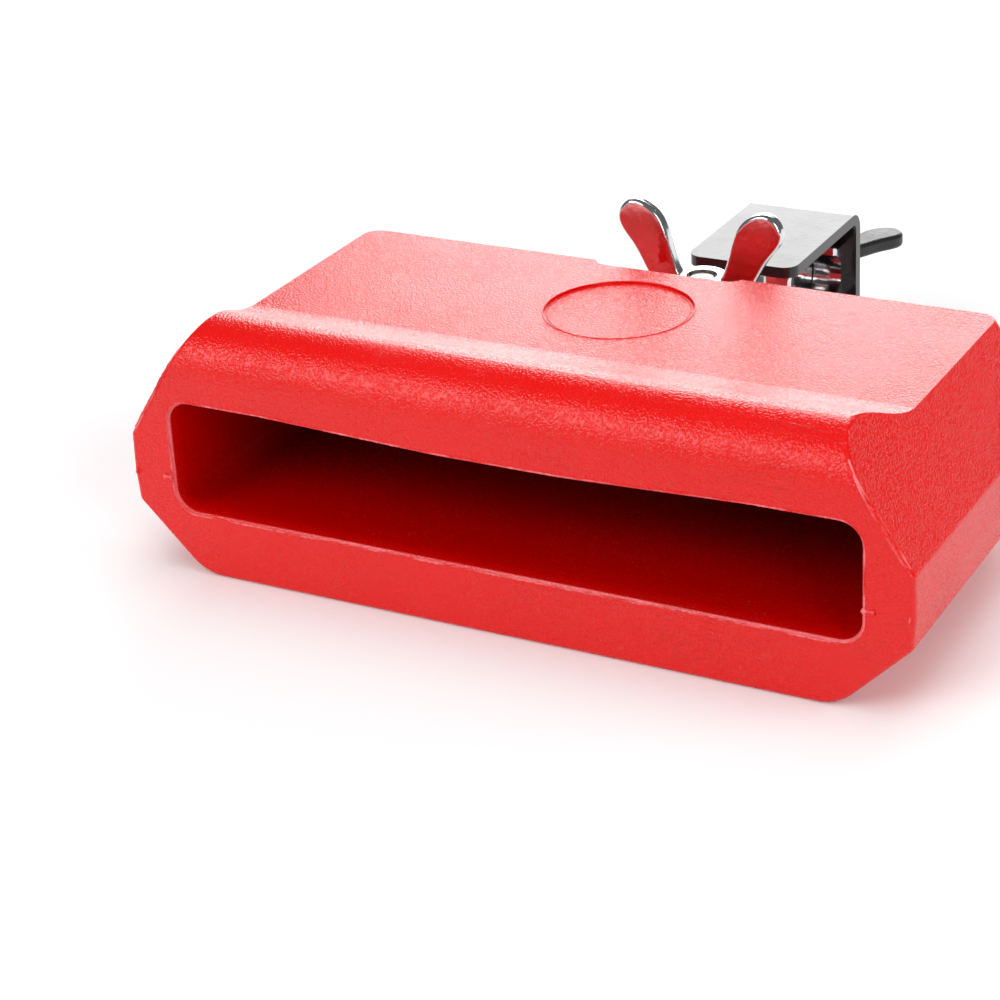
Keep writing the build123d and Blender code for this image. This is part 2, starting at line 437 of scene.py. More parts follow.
def node(tree, kind, links=None, **values):
    """Adds a node, sets its properties and sockets by name, and links its inputs."""
    made = tree.nodes.new(kind)
    for key, value in values.items():
        if hasattr(made, key):
            setattr(made, key, value)
        else:
            made.inputs[key.replace("_", " ")].default_value = value
    for key, source in (links or {}).items():
        tree.links.new(source, made.inputs[key])
    return made


def maths(tree, operation, first, second=None, clamp=False):
    """A Math node; first and second are sockets or numbers."""
    made = tree.nodes.new("ShaderNodeMath")
    made.operation = operation
    made.use_clamp = clamp
    for slot, value in enumerate((first, second)):
        if value is None:
            continue
        if isinstance(value, (int, float)):
            made.inputs[slot].default_value = value
        else:
            tree.links.new(value, made.inputs[slot])
    return made.outputs[0]


def remap(tree, value, low, high, start=0.0, end=1.0, smooth=False):
    """Maps low..high of a value to start..end, held at the ends."""
    made = tree.nodes.new("ShaderNodeMapRange")
    made.interpolation_type = "SMOOTHSTEP" if smooth else "LINEAR"
    made.clamp = True
    tree.links.new(value, made.inputs["Value"])
    for label, number in (("From Min", low), ("From Max", high), ("To Min", start), ("To Max", end)):
        made.inputs[label].default_value = number
    return made.outputs["Result"]


def mix_colour(tree, mask, first, second):
    """Blends two colours, each a socket or three numbers, by a mask."""
    made = tree.nodes.new("ShaderNodeMix")
    made.data_type = "RGBA"
    tree.links.new(mask, made.inputs["Factor"])
    for slot, value in ((6, first), (7, second)):
        if hasattr(value, "is_linked"):
            tree.links.new(value, made.inputs[slot])
        else:
            made.inputs[slot].default_value = (*value, 1.0)
    return made.outputs[2]


def new_material(name):
    """An empty node material with a Principled BSDF and the object's coordinates."""
    material = bpy.data.materials.new(name)
    material.use_nodes = True
    tree = material.node_tree
    tree.nodes.clear()
    shader = tree.nodes.new("ShaderNodeBsdfPrincipled")
    output = tree.nodes.new("ShaderNodeOutputMaterial")
    tree.links.new(shader.outputs["BSDF"], output.inputs["Surface"])
    place = tree.nodes.new("ShaderNodeTexCoord").outputs["Object"]
    return material, tree, shader, place


def use_group(tree, name, links=None, **values):
    """Places a node group in a tree, with its inputs set by name."""
    made = tree.nodes.new("ShaderNodeGroup")
    made.node_tree = bpy.data.node_groups[name]
    for key, value in values.items():
        made.inputs[key.replace("_", " ")].default_value = value
    for key, source in (links or {}).items():
        tree.links.new(source, made.inputs[key])
    return made


def bump(tree, height, distance):
    """A Bump node over a height from 0 to 1, with its depth in metres."""
    made = tree.nodes.new("ShaderNodeBump")
    made.inputs["Distance"].default_value = distance
    made.inputs["Strength"].default_value = 1.0
    tree.links.new(height, made.inputs["Height"])
    return made.outputs["Normal"]


# ------------------------------------------------------------------ shader groups


def build_grain_group():
    """Moulded grain: soft pebbles pulled out of line, with finer sand over them."""
    group, entry, leave = new_group(
        "moulded grain",
        (
            ("Vector", "NodeSocketVector", None),
            ("Scale", "NodeSocketFloat", 1400.0),
            ("Sand", "NodeSocketFloat", 0.4),
        ),
        (("Height", "NodeSocketFloat"), ("Pits", "NodeSocketFloat")),
    )
    place, scale = entry.outputs["Vector"], entry.outputs["Scale"]
    bend = node(
        group,
        "ShaderNodeTexNoise",
        {"Vector": place, "Scale": maths(group, "MULTIPLY", scale, 0.6)},
        Detail=1.0,
    )
    shift = node(group, "ShaderNodeVectorMath", {0: bend.outputs["Color"]}, operation="SCALE")
    group.links.new(maths(group, "DIVIDE", 0.9, scale), shift.inputs["Scale"])
    bent = node(group, "ShaderNodeVectorMath", {0: place, 1: shift.outputs[0]}, operation="ADD")
    cells = node(group, "ShaderNodeTexVoronoi", {"Vector": bent.outputs[0], "Scale": scale}, feature="F1")
    sand = node(
        group,
        "ShaderNodeTexNoise",
        {"Vector": place, "Scale": maths(group, "MULTIPLY", scale, 2.2)},
        Detail=2.0,
        Roughness=0.6,
    )
    pebbles = remap(group, cells.outputs["Distance"], 0.1, 0.75, 1.0, 0.0, smooth=True)
    height = maths(
        group, "ADD", pebbles, maths(group, "MULTIPLY", sand.outputs["Fac"], entry.outputs["Sand"])
    )
    group.links.new(height, leave.inputs["Height"])
    group.links.new(remap(group, height, 0.15, 0.75, 1.0, 0.0), leave.inputs["Pits"])


def build_scratch_group():
    """Hairline scratches in two directions, broken up so that none runs far."""
    group, entry, leave = new_group(
        "hairline scratches",
        (
            ("Vector", "NodeSocketVector", None),
            ("Scale", "NodeSocketFloat", 60.0),
            ("Amount", "NodeSocketFloat", 0.5),
        ),
        (("Mask", "NodeSocketFloat"),),
    )
    masks = []
    for turn, stretch in ((Euler((0.2, 0.15, 0.45)), 14.0), (Euler((-0.3, 0.2, -0.95)), 18.0)):
        turned = node(group, "ShaderNodeMapping", {"Vector": entry.outputs["Vector"]}, vector_type="POINT")
        turned.inputs["Rotation"].default_value = turn
        turned.inputs["Scale"].default_value = (1.0, stretch, stretch)
        lines = node(
            group,
            "ShaderNodeTexNoise",
            {"Vector": turned.outputs[0], "Scale": entry.outputs["Scale"]},
            Detail=3.0,
        )
        near = maths(group, "ABSOLUTE", maths(group, "SUBTRACT", lines.outputs["Fac"], 0.5))
        masks.append(remap(group, near, 0.0, 0.004, 1.0, 0.0))
    gaps = node(
        group,
        "ShaderNodeTexNoise",
        {"Vector": entry.outputs["Vector"], "Scale": entry.outputs["Scale"]},
        Detail=2.0,
    )
    spread = remap(group, gaps.outputs["Fac"], 0.52, 0.66)
    both = maths(group, "MAXIMUM", masks[0], masks[1])
    mask = maths(group, "MULTIPLY", maths(group, "MULTIPLY", both, spread), entry.outputs["Amount"])
    group.links.new(mask, leave.inputs["Mask"])


def build_smudge_group():
    """Handling marks: broad cloudy patches and small specks."""
    group, entry, leave = new_group(
        "handling marks",
        (
            ("Vector", "NodeSocketVector", None),
            ("Patch scale", "NodeSocketFloat", 45.0),
            ("Speck scale", "NodeSocketFloat", 420.0),
        ),
        (("Patches", "NodeSocketFloat"), ("Specks", "NodeSocketFloat")),
    )
    patches = node(
        group,
        "ShaderNodeTexNoise",
        {"Vector": entry.outputs["Vector"], "Scale": entry.outputs["Patch scale"]},
        Detail=4.0,
        Roughness=0.62,
    )
    group.links.new(remap(group, patches.outputs["Fac"], 0.35, 0.68, smooth=True), leave.inputs["Patches"])
    specks = node(
        group,
        "ShaderNodeTexVoronoi",
        {"Vector": entry.outputs["Vector"], "Scale": entry.outputs["Speck scale"]},
    )
    dots = remap(group, specks.outputs["Distance"], 0.06, 0.16, 1.0, 0.0)
    group.links.new(
        maths(group, "MULTIPLY", dots, remap(group, patches.outputs["Fac"], 0.5, 0.58)),
        leave.inputs["Specks"],
    )


# ------------------------------------------------------------------ materials


def mouth_masks(tree, place, settings):
    """Two masks from the object's own coordinates: inside the cavity, and on the bevel around the mouth."""
    bevel, hair = settings.mouth_bevel, 0.0002
    half, low_z, high_z = settings.mouth_half + bevel, settings.mouth_low - bevel, settings.mouth_high + bevel
    back_y = FRONT_Y + settings.cavity_depth
    axes = node(tree, "ShaderNodeSeparateXYZ", {"Vector": place})
    wide = remap(tree, maths(tree, "ABSOLUTE", axes.outputs["X"]), half + hair, half + 2 * hair, 1.0, 0.0)
    low = remap(tree, axes.outputs["Z"], low_z - 2 * hair, low_z - hair)
    high = remap(tree, axes.outputs["Z"], high_z + hair, high_z + 2 * hair, 1.0, 0.0)
    opening = maths(tree, "MULTIPLY", wide, maths(tree, "MULTIPLY", low, high))
    deep = remap(tree, axes.outputs["Y"], FRONT_Y + bevel, FRONT_Y + 8 * bevel)
    near = remap(tree, axes.outputs["Y"], back_y + hair, back_y + 5 * hair, 1.0, 0.0)
    inside = maths(tree, "MULTIPLY", opening, maths(tree, "MULTIPLY", deep, near))
    behind = remap(tree, axes.outputs["Y"], FRONT_Y + 0.15 * hair, FRONT_Y + 0.5 * hair)
    ahead = remap(tree, axes.outputs["Y"], FRONT_Y + bevel, FRONT_Y + bevel + 2 * hair, 1.0, 0.0)
    lip = maths(tree, "MULTIPLY", opening, maths(tree, "MULTIPLY", behind, ahead))
    return inside, lip


def plastic_material(settings):
    """Red moulded plastic: pebbled grain, a waxy sheen, scuffs, specks and hairlines, with painted shade that
    darkens the cavity inside the mouth towards its back.
    """
    material, tree, shader, place = new_material("red moulded plastic")
    grain = use_group(tree, "moulded grain", {"Vector": place}, Scale=1.0 / settings.grain_size, Sand=0.45)
    marks = use_group(tree, "handling marks", {"Vector": place})
    hairs = use_group(tree, "hairline scratches", {"Vector": place}, Scale=26.0, Amount=0.8)
    clouds = node(tree, "ShaderNodeTexNoise", {"Vector": place}, Scale=18.0, Detail=3.0)
    red = tuple(settings.plastic_colour)
    deep = (red[0] * 0.95, red[1] * 0.6, red[2] * 0.6)
    body = mix_colour(tree, remap(tree, clouds.outputs["Fac"], 0.3, 0.7), red, deep)
    inside, lip = mouth_masks(tree, place, settings)
    pale = maths(tree, "MULTIPLY", lip, remap(tree, clouds.outputs["Fac"], 0.35, 0.6, 0.25, 0.8))
    # Painted shade: inside the mouth the red goes from the cavity shade colour near the front to the painted
    # shadow colour further back.
    depth = node(tree, "ShaderNodeSeparateXYZ", {"Vector": place}).outputs["Y"]
    shade = remap(tree, depth, FRONT_Y + 0.004, FRONT_Y + 0.045)
    painted_cavity_shade = mix_colour(tree, shade, tuple(settings.cavity_shade_colour), tuple(settings.shadow_colour))
    body = mix_colour(tree, inside, body, painted_cavity_shade)
    rubbed = maths(tree, "MULTIPLY", marks.outputs["Specks"], 0.25)
    rubbed = maths(tree, "MAXIMUM", rubbed, maths(tree, "MULTIPLY", hairs.outputs["Mask"], 0.12))
    rubbed = maths(tree, "MAXIMUM", rubbed, pale)
    colour = mix_colour(tree, rubbed, body, tuple(settings.scuff_and_crease_highlight_colour))
    tree.links.new(colour, shader.inputs["Base Color"])
    rough = remap(tree, marks.outputs["Patches"], 0.0, 1.0, 0.19, 0.23)
    rough = maths(tree, "ADD", rough, maths(tree, "MULTIPLY", grain.outputs["Pits"], 0.08))
    tree.links.new(rough, shader.inputs["Roughness"])
    height = maths(
        tree, "SUBTRACT", grain.outputs["Height"], maths(tree, "MULTIPLY", hairs.outputs["Mask"], 0.8)
    )
    height = maths(tree, "MULTIPLY", height, remap(tree, inside, 0.0, 1.0, 1.0, 0.06))
    tree.links.new(bump(tree, height, settings.grain_depth), shader.inputs["Normal"])
    shader.inputs["Specular IOR Level"].default_value = 0.42
    return material


def flash_and_crease_highlight_material(settings):
    """The thin flash along the mould joint: the same plastic, stretched pale and matt. On the ridges along
    the creases the same pale colour is a painted highlight.
    """
    material, tree, shader, place = new_material("pale flash")
    grain = use_group(tree, "moulded grain", {"Vector": place}, Scale=2200.0, Sand=0.8)
    streaks = node(tree, "ShaderNodeTexNoise", {"Vector": place}, Scale=160.0, Detail=3.0)
    tone = remap(tree, streaks.outputs["Fac"], 0.42, 0.62)
    colour = mix_colour(tree, tone, tuple(settings.plastic_colour), tuple(settings.scuff_and_crease_highlight_colour))
    tree.links.new(colour, shader.inputs["Base Color"])
    tree.links.new(remap(tree, streaks.outputs["Fac"], 0.3, 0.7, 0.42, 0.6), shader.inputs["Roughness"])
    tree.links.new(bump(tree, grain.outputs["Height"], 0.00006), shader.inputs["Normal"])
    return material


def chrome_material(settings):
    """Chrome over a cast surface: slightly wavy, with handling marks."""
    material, tree, shader, place = new_material("cast chrome")
    marks = use_group(tree, "handling marks", {"Vector": place}, Patch_scale=120.0, Speck_scale=900.0)
    hairs = use_group(tree, "hairline scratches", {"Vector": place}, Scale=90.0, Amount=0.7)
    waves = node(tree, "ShaderNodeTexNoise", {"Vector": place}, Scale=260.0, Detail=2.0)
    bright = tuple(settings.chrome_colour)
    dull = tuple(value * 0.82 for value in bright)
    tree.links.new(mix_colour(tree, marks.outputs["Patches"], bright, dull), shader.inputs["Base Color"])
    shader.inputs["Metallic"].default_value = 1.0
    rough = remap(tree, marks.outputs["Patches"], 0.0, 1.0, 0.06, 0.16)
    rough = maths(tree, "ADD", rough, maths(tree, "MULTIPLY", hairs.outputs["Mask"], 0.25), clamp=True)
    tree.links.new(rough, shader.inputs["Roughness"])
    height = maths(
        tree, "SUBTRACT", waves.outputs["Fac"], maths(tree, "MULTIPLY", marks.outputs["Specks"], 0.3)
    )
    tree.links.new(bump(tree, height, 0.00008), shader.inputs["Normal"])
    return material


def zinc_material(settings):
    """Bright zinc plate on turned steel: fine tool marks and a slightly cloudy finish."""
    material, tree, shader, place = new_material("zinc plate")
    marks = use_group(tree, "handling marks", {"Vector": place}, Patch_scale=200.0, Speck_scale=1200.0)
    hairs = use_group(tree, "hairline scratches", {"Vector": place}, Scale=160.0, Amount=0.8)
    bright = tuple(settings.zinc_colour)
    warm = (bright[0] * 0.86, bright[1] * 0.84, bright[2] * 0.78)
    tree.links.new(mix_colour(tree, marks.outputs["Patches"], bright, warm), shader.inputs["Base Color"])
    shader.inputs["Metallic"].default_value = 1.0
    rough = remap(tree, marks.outputs["Patches"], 0.0, 1.0, 0.24, 0.38)
    tree.links.new(rough, shader.inputs["Roughness"])
    height = maths(tree, "ADD", marks.outputs["Specks"], hairs.outputs["Mask"])
    tree.links.new(bump(tree, height, 0.00003), shader.inputs["Normal"])
    return material


def black_material(name, settings, gloss, texture, texture_depth):
    """Black coating: gloss is its roughness, with orange peel of a given size and depth."""
    material, tree, shader, place = new_material(name)
    grain = use_group(tree, "moulded grain", {"Vector": place}, Scale=texture, Sand=0.3)
    marks = use_group(tree, "handling marks", {"Vector": place}, Patch_scale=90.0, Speck_scale=700.0)
    hairs = use_group(tree, "hairline scratches", {"Vector": place}, Scale=70.0, Amount=0.7)
    black = tuple(settings.black_colour)
    dusty = tuple(value * 3.0 + 0.01 for value in black)
    worn = maths(
        tree, "MAXIMUM", maths(tree, "MULTIPLY", marks.outputs["Specks"], 0.5), hairs.outputs["Mask"]
    )
    tree.links.new(mix_colour(tree, worn, black, dusty), shader.inputs["Base Color"])
    tree.links.new(
        remap(tree, marks.outputs["Patches"], 0.0, 1.0, gloss, gloss + 0.1), shader.inputs["Roughness"]
    )
    tree.links.new(bump(tree, grain.outputs["Height"], texture_depth), shader.inputs["Normal"])
    return material


def pad_material(settings):
    """Rubber friction pad: matt, with a fine sandy face and rubbed patches."""
    material, tree, shader, place = new_material("pad rubber")
    grain = use_group(tree, "moulded grain", {"Vector": place}, Scale=2600.0, Sand=0.9)
    marks = use_group(tree, "handling marks", {"Vector": place}, Patch_scale=160.0, Speck_scale=900.0)
    dark = tuple(settings.pad_colour)
    rubbed = tuple(value + 0.03 for value in dark)
    tree.links.new(mix_colour(tree, marks.outputs["Patches"], dark, rubbed), shader.inputs["Base Color"])
    tree.links.new(remap(tree, grain.outputs["Pits"], 0.0, 1.0, 0.7, 0.9), shader.inputs["Roughness"])
    tree.links.new(bump(tree, grain.outputs["Height"], 0.00006), shader.inputs["Normal"])
    return material


# ------------------------------------------------------------------ mesh helpers


def deselect():
    """Leaves nothing selected, in object mode."""
    if bpy.context.object is not None and bpy.context.object.mode != "OBJECT":
        bpy.ops.object.mode_set(mode="OBJECT")
    bpy.ops.object.select_all(action="DESELECT")


def pick(piece):
    """Makes a piece the only one selected, and active."""
    deselect()
    piece.select_set(True)
    bpy.context.view_layer.objects.active = piece


def copy_of_node(name, label):
    """A free copy of a CAD node with its doubled points merged."""
    source = NODES[name]
    piece = bpy.data.objects.new(label, source.data.copy())
    piece.data.name = label
    bpy.context.scene.collection.objects.link(piece)
    pick(piece)
    bpy.ops.mesh.customdata_custom_splitnormals_clear()
    bpy.ops.object.mode_set(mode="EDIT")
    bpy.ops.mesh.select_all(action="SELECT")
    bpy.ops.mesh.remove_doubles(threshold=0.000002)
    bpy.ops.object.mode_set(mode="OBJECT")
    return piece


def select_points(piece, test):
    """Selects the points of the active mesh that pass a test, and leaves edit mode on."""
    bpy.ops.object.mode_set(mode="EDIT")
    bpy.ops.mesh.select_mode(type="VERT")
    bpy.ops.mesh.select_all(action="DESELECT")
    bpy.ops.object.mode_set(mode="OBJECT")
    for point in piece.data.vertices:
        point.select = test(point.co)
    bpy.ops.object.mode_set(mode="EDIT")


def apply_modifiers(piece):
    """Applies every modifier of a piece, top first."""
    pick(piece)
    for modifier in list(piece.modifiers):
        bpy.ops.object.modifier_apply(modifier=modifier.name)


def finish_piece(piece, material, body, angle=40.0):
    """Material, smooth shading, body and slot of a finished piece."""
    pick(piece)
    piece.data.materials.clear()
    piece.data.materials.append(material)
    bpy.ops.object.shade_smooth_by_angle(angle=math.radians(angle))
    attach(piece, body)


def keep_selected():
    """Deletes all but the selected points of a mesh in edit mode, and its faces."""
    bpy.ops.mesh.select_all(action="INVERT")
    bpy.ops.mesh.delete(type="VERT")
    bpy.ops.mesh.select_all(action="SELECT")
    bpy.ops.mesh.delete(type="ONLY_FACE")
    bpy.ops.object.mode_set(mode="OBJECT")


def split_long_edges(piece, longest):
    """Subdivides the edges of a wire until none is longer than a limit."""
    pick(piece)
    for _ in range(8):
        bpy.ops.object.mode_set(mode="EDIT")
        bpy.ops.mesh.select_mode(type="EDGE")
        bpy.ops.mesh.select_all(action="DESELECT")
        bpy.ops.object.mode_set(mode="OBJECT")
        points = piece.data.vertices
        long_edges = []
        for edge in piece.data.edges:
            start, end = (points[index].co for index in edge.vertices)
            if (start - end).length > longest:
                long_edges.append(edge)
        if not long_edges:
            break
        for edge in long_edges:
            edge.select = True
        bpy.ops.object.mode_set(mode="EDIT")
        bpy.ops.mesh.subdivide(number_cuts=1)
        bpy.ops.object.mode_set(mode="OBJECT")


def extruded_wire(points):
    """A wire through a row of points, drawn by extruding one corner from each to the next."""
    deselect()
    bpy.ops.mesh.primitive_plane_add(size=0.001)
    wire = bpy.context.object
    bpy.ops.object.mode_set(mode="EDIT")
    bpy.ops.mesh.select_mode(type="VERT")
    bpy.ops.mesh.select_all(action="SELECT")
    bpy.ops.mesh.merge(type="CENTER")
    bpy.ops.transform.translate(value=points[0])
    for start, end in zip(points, points[1:]):
        move = tuple(after - before for before, after in zip(start, end))
        bpy.ops.mesh.extrude_vertices_move(TRANSFORM_OT_translate={"value": move})
    bpy.ops.object.mode_set(mode="OBJECT")
    return wire


def bead_from_edges(piece, thickness, spread, seed, blob=1.0):
    """Turns a wire into a thin closed bead of uneven thickness; blob swells its loose ends."""
    chance = random.Random(seed)
    pick(piece)
    bpy.ops.object.convert(target="CURVE")
    curve = bpy.context.object
    curve.data.bevel_depth = thickness
    curve.data.bevel_resolution = 1
    curve.data.use_fill_caps = True
    for spline in curve.data.splines:
        last = len(spline.points) - 1
        for place, point in enumerate(spline.points):
            point.radius = 1.0 + spread * chance.uniform(-1.0, 1.0)
            if not spline.use_cyclic_u and min(place, last - place) < 2:
                point.radius *= blob
    bpy.ops.object.convert(target="MESH")
    return bpy.context.object


def threaded_rod(label, axis_point, turn, radii, pitch, length, steps):
    """A rod along local Z with bevelled ends and a V thread, then placed; radii are root and crest.

    The core is closed. The thread is a ridge laid on it, and the ridge's two ends are open.
    """
    root, crest = radii
    deselect()
    bpy.ops.mesh.primitive_cylinder_add(
        vertices=steps, radius=root, depth=length, location=(0, 0, length / 2), end_fill_type="NGON"
    )
    core = bpy.context.object
    core.name = label
    bpy.ops.object.mode_set(mode="EDIT")
    bpy.ops.mesh.select_mode(type="FACE")
    bpy.ops.mesh.select_all(action="DESELECT")
    bpy.ops.object.mode_set(mode="OBJECT")
    for face in core.data.polygons:
        face.select = abs(face.normal.z) > 0.9
    bpy.ops.object.mode_set(mode="EDIT")
    bpy.ops.mesh.bevel(offset=root * 0.15, segments=2, affect="EDGES")
    bpy.ops.object.mode_set(mode="OBJECT")
    bpy.ops.object.transform_apply(location=True, rotation=True, scale=True)

    bpy.ops.mesh.primitive_plane_add(size=1.0)
    ridge = bpy.context.object
    end_room, buried, half_foot, half_crest = 1.6, 0.25, 0.5, 0.07
    turns = int((length - end_room * pitch) / pitch)
    inner = root - buried * (crest - root)
    corners = ((inner, -half_foot), (crest, -half_crest), (inner, half_foot), (crest, half_crest))
    for point, (out, up) in zip(ridge.data.vertices, corners):
        point.co = (out, 0, up * pitch + pitch)
    screw = ridge.modifiers.new("thread", "SCREW")
    screw.axis = "Z"
    screw.angle = math.tau
    screw.screw_offset = pitch
    screw.iterations = turns
    screw.steps = screw.render_steps = steps
    screw.use_merge_vertices = True
    screw.merge_threshold = 0.000002
    apply_modifiers(ridge)
    pick(core)
    ridge.select_set(True)
    bpy.ops.object.join()
    core = bpy.context.object
    core.matrix_world = Matrix.Translation(axis_point) @ turn.to_matrix().to_4x4()
    bpy.ops.object.transform_apply(location=True, rotation=True, scale=True)
    return core


def cut_copy(node_name, label, plane_point, plane_normal):
    """A copy of a CAD node with the side that the normal points to cut off and closed."""
    piece = copy_of_node(node_name, label)
    bpy.ops.object.mode_set(mode="EDIT")
    bpy.ops.mesh.select_all(action="SELECT")
    bpy.ops.mesh.bisect(plane_co=plane_point, plane_no=plane_normal, use_fill=True, clear_outer=True)
    bpy.ops.object.mode_set(mode="OBJECT")
    return piece


# ------------------------------------------------------------------ stage helpers


# Name, direction from the object, distance, width and height, power setting, seen in reflections.
SOFTBOXES = (
    ("key softbox", (-0.42, -0.70, 0.50), 1.6, (1.2, 0.7), "key_power", True),
    ("side softbox", (0.74, -0.60, 0.36), 1.6, (0.5, 0.9), "side_power", True),
    ("backdrop light", (-0.26, 0.93, 0.25), 1.8, (1.3, 1.05), "back_power", True),
    ("right fill", (0.95, 0.25, 0.55), 1.8, (1.0, 1.0), "fill_power", False),
    ("overhead fill", (0.05, 0.05, 1.0), 1.8, (1.6, 1.6), "top_power", False),
)
LIGHT_AIM = Vector((0, 0, 0.03))
FLOOR_SIZE = 6.0


def lay_floor(settings):
    """The plain paper floor, which is not part of the object."""
    deselect()
    bpy.ops.mesh.primitive_plane_add(size=FLOOR_SIZE, location=(0, 0, 0))
    floor = bpy.context.object
    floor.name = "floor"
    bpy.ops.object.transform_apply(location=True, rotation=True, scale=True)
    material, tree, shader, place = new_material("studio floor")
    paper = node(tree, "ShaderNodeTexNoise", {"Vector": place}, Scale=900.0, Detail=2.0)
    tint = tuple(settings.floor_colour)
    shade = tuple(value * 0.99 for value in tint)
    tree.links.new(mix_colour(tree, paper.outputs["Fac"], tint, shade), shader.inputs["Base Color"])
    shader.inputs["Roughness"].default_value = 0.85
    shader.inputs["Specular IOR Level"].default_value = 0.2
    floor.data.materials.append(material)


def light_room(settings):
    """Even light from the room all round."""
    world = bpy.data.worlds.new("room light")
    world.use_nodes = True
    world.node_tree.nodes["Background"].inputs["Color"].default_value = (*settings.world_colour, 1.0)
    bpy.context.scene.world = world


def hang_softbox(name, toward, distance, size, power, glossy):
    """A rectangular light at a distance, turned to face the object."""
    lamp = bpy.data.lights.new(name, "AREA")
    lamp.shape = "RECTANGLE"
    lamp.size, lamp.size_y = size
    lamp.energy = power
    holder = bpy.data.objects.new(name, lamp)
    bpy.context.scene.collection.objects.link(holder)
    direction = Vector(toward).normalized()
    holder.location = LIGHT_AIM + direction * distance
    holder.rotation_euler = direction.to_track_quat("Z", "Y").to_euler()
    holder.visible_glossy = glossy


def stand_camera(settings):
    """The camera at its place, turned by heading, tilt and roll."""
    lens = bpy.data.cameras.new("studio camera")
    lens.lens = settings.camera_lens
    lens.sensor_width = 36.0
    lens.clip_start = 0.01
    lens.clip_end = 20.0
    camera = bpy.data.objects.new("studio camera", lens)
    bpy.context.scene.collection.objects.link(camera)
    turn, tilt, roll = settings.camera_turn, settings.camera_tilt, settings.camera_roll
    ahead = Vector((-math.sin(turn) * math.cos(tilt), math.cos(turn) * math.cos(tilt), -math.sin(tilt)))
    level = Vector((math.cos(turn), math.sin(turn), 0))
    down = ahead.cross(level)
    across = math.cos(roll) * level + math.sin(roll) * down
    upward = math.sin(roll) * level - math.cos(roll) * down
    facing = Matrix((across, upward, -ahead)).transposed()
    camera.matrix_world = Matrix.Translation(settings.camera_place) @ facing.to_4x4()
    return camera


# ------------------------------------------------------------------ operators


class BLOCK_OT_finishes(Operator):
    """Build the shader groups and the materials, and put them on the CAD nodes"""

    bl_idname = "block.finishes"
    bl_label = "Finishes"

    def execute(self, context):
        block, hardware = context.scene.block_settings, context.scene.hardware_settings
        build_grain_group()
        build_scratch_group()
        build_smudge_group()
        plastic = plastic_material(block)
        flash_and_crease_highlight_material(block)
        chrome = chrome_material(hardware)
        zinc = zinc_material(hardware)
        coat = black_material("black gloss coat", hardware, 0.14, 700.0, 0.000008)
        nut_coat = black_material("black nut coat", hardware, 0.3, 1500.0, 0.00004)
        oxide = black_material("black oxide", hardware, 0.38, 2200.0, 0.00002)
        pad = pad_material(hardware)
        by_slot = {
            "block_plastic": plastic,
            "chrome_plate": chrome,
            "zinc_steel": zinc,
            "black_steel": coat,
            "black_coat": nut_coat,
            "black_screw": oxide,
            "pad_rubber": pad,
        }
        for obj in NODES.values():
            for slot in obj.material_slots:
                slot.material = by_slot[slot.material.name]
        return {"FINISHED"}


class BLOCK_OT_mouth_flash(Operator):
    """Lay a ragged bead of flash around the edge of the mouth"""

    bl_idname = "block.mouth_flash"
    bl_label = "Mouth flash"

    def execute(self, context):
        settings = context.scene.block_settings
        piece = copy_of_node("resonator_block", "mouth_flash")

        def on_mouth(co):
            """Whether a point is on the edge of the mouth, in the front face."""
            reach = settings.mouth_bevel + 0.0005
            wide = abs(co.x) < settings.mouth_half + reach
            high = settings.mouth_low - reach < co.z < settings.mouth_high + reach
            return co.y < FRONT_Y + 0.00005 and wide and high

        select_points(piece, on_mouth)
        keep_selected()
        split_long_edges(piece, longest=0.0009)
        piece = bead_from_edges(piece, thickness=settings.flash_width / 2, spread=0.75, seed=3)
        piece.name = "mouth_flash"
        finish_piece(piece, bpy.data.materials["pale flash"], "block")
        return {"FINISHED"}


class BLOCK_OT_parting_flash(Operator):
    """Run a hair of flash along the mould joint, on the front and the rear of the body"""

    bl_idname = "block.parting_flash"
    bl_label = "Parting flash"

    def execute(self, context):
        settings = context.scene.block_settings
        piece = copy_of_node("resonator_block", "parting_flash")
        bpy.ops.object.mode_set(mode="EDIT")
        bpy.ops.mesh.select_all(action="SELECT")
        bpy.ops.mesh.bisect(plane_co=(0, 0, settings.parting_z), plane_no=(0, 0, 1))
        bpy.ops.object.mode_set(mode="OBJECT")

        def outside(co):
            """Whether a point is on the parting plane and not in the cavity."""
            back_y = FRONT_Y + settings.cavity_depth + 0.001
            in_cavity = abs(co.x) < settings.mouth_half + 0.0002 and FRONT_Y + 0.0001 < co.y < back_y
            return abs(co.z - settings.parting_z) < 0.00001 and not in_cavity

        select_points(piece, outside)
        keep_selected()
        split_long_edges(piece, longest=0.0012)
        piece = bead_from_edges(piece, thickness=settings.flash_height / 2, spread=0.5, seed=5, blob=4.0)
        piece.name = "parting_flash"
        finish_piece(piece, bpy.data.materials["pale flash"], "block")
        return {"FINISHED"}


